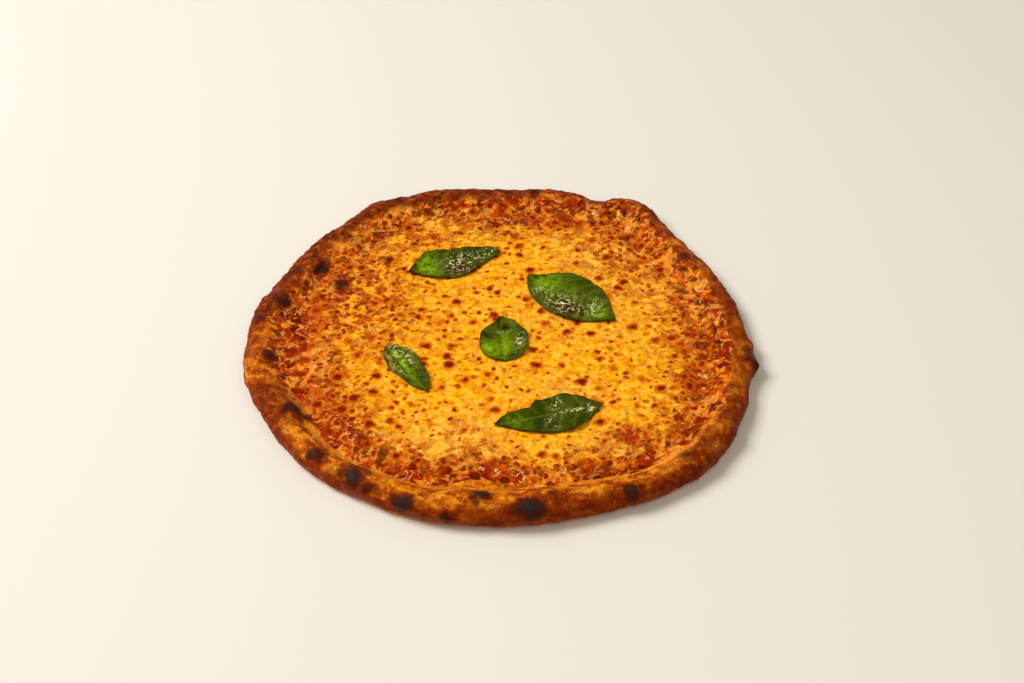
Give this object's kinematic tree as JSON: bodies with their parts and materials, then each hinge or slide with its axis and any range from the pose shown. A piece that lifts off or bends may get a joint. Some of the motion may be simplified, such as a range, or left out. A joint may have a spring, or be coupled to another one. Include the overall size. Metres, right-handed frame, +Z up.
{
  "type": "margherita pizza",
  "caption": "Whole round baked pizza with a raised blistered rim, tomato sauce, melted browned mozzarella and basil leaves on top.",
  "frame": {"origin": "middle of the flat underside, where the pizza rests", "axes": "+Z up through the pizza, -Y towards the front of the picture's view, +X to its right"},
  "size_m": [0.3202, 0.3177, 0.0178],
  "materials": {
    "baked_dough": "baked bread crust, matte with an oily sheen, charred in spots",
    "tomato_sauce": "wet and oily",
    "melted_cheese": "melted mozzarella, oily, with browned blisters",
    "basil_leaf": "fresh leaf wetted with oil"
  },
  "bodies": {
    "root": {"crust": "baked_dough", "tomato_sauce": "tomato_sauce", "mozzarella": "melted_cheese", "basil_leaf_1": "basil_leaf", "basil_leaf_2": "basil_leaf", "basil_leaf_3": "basil_leaf", "basil_leaf_4": "basil_leaf", "basil_leaf_5": "basil_leaf"}
  },
  "joints": []
}
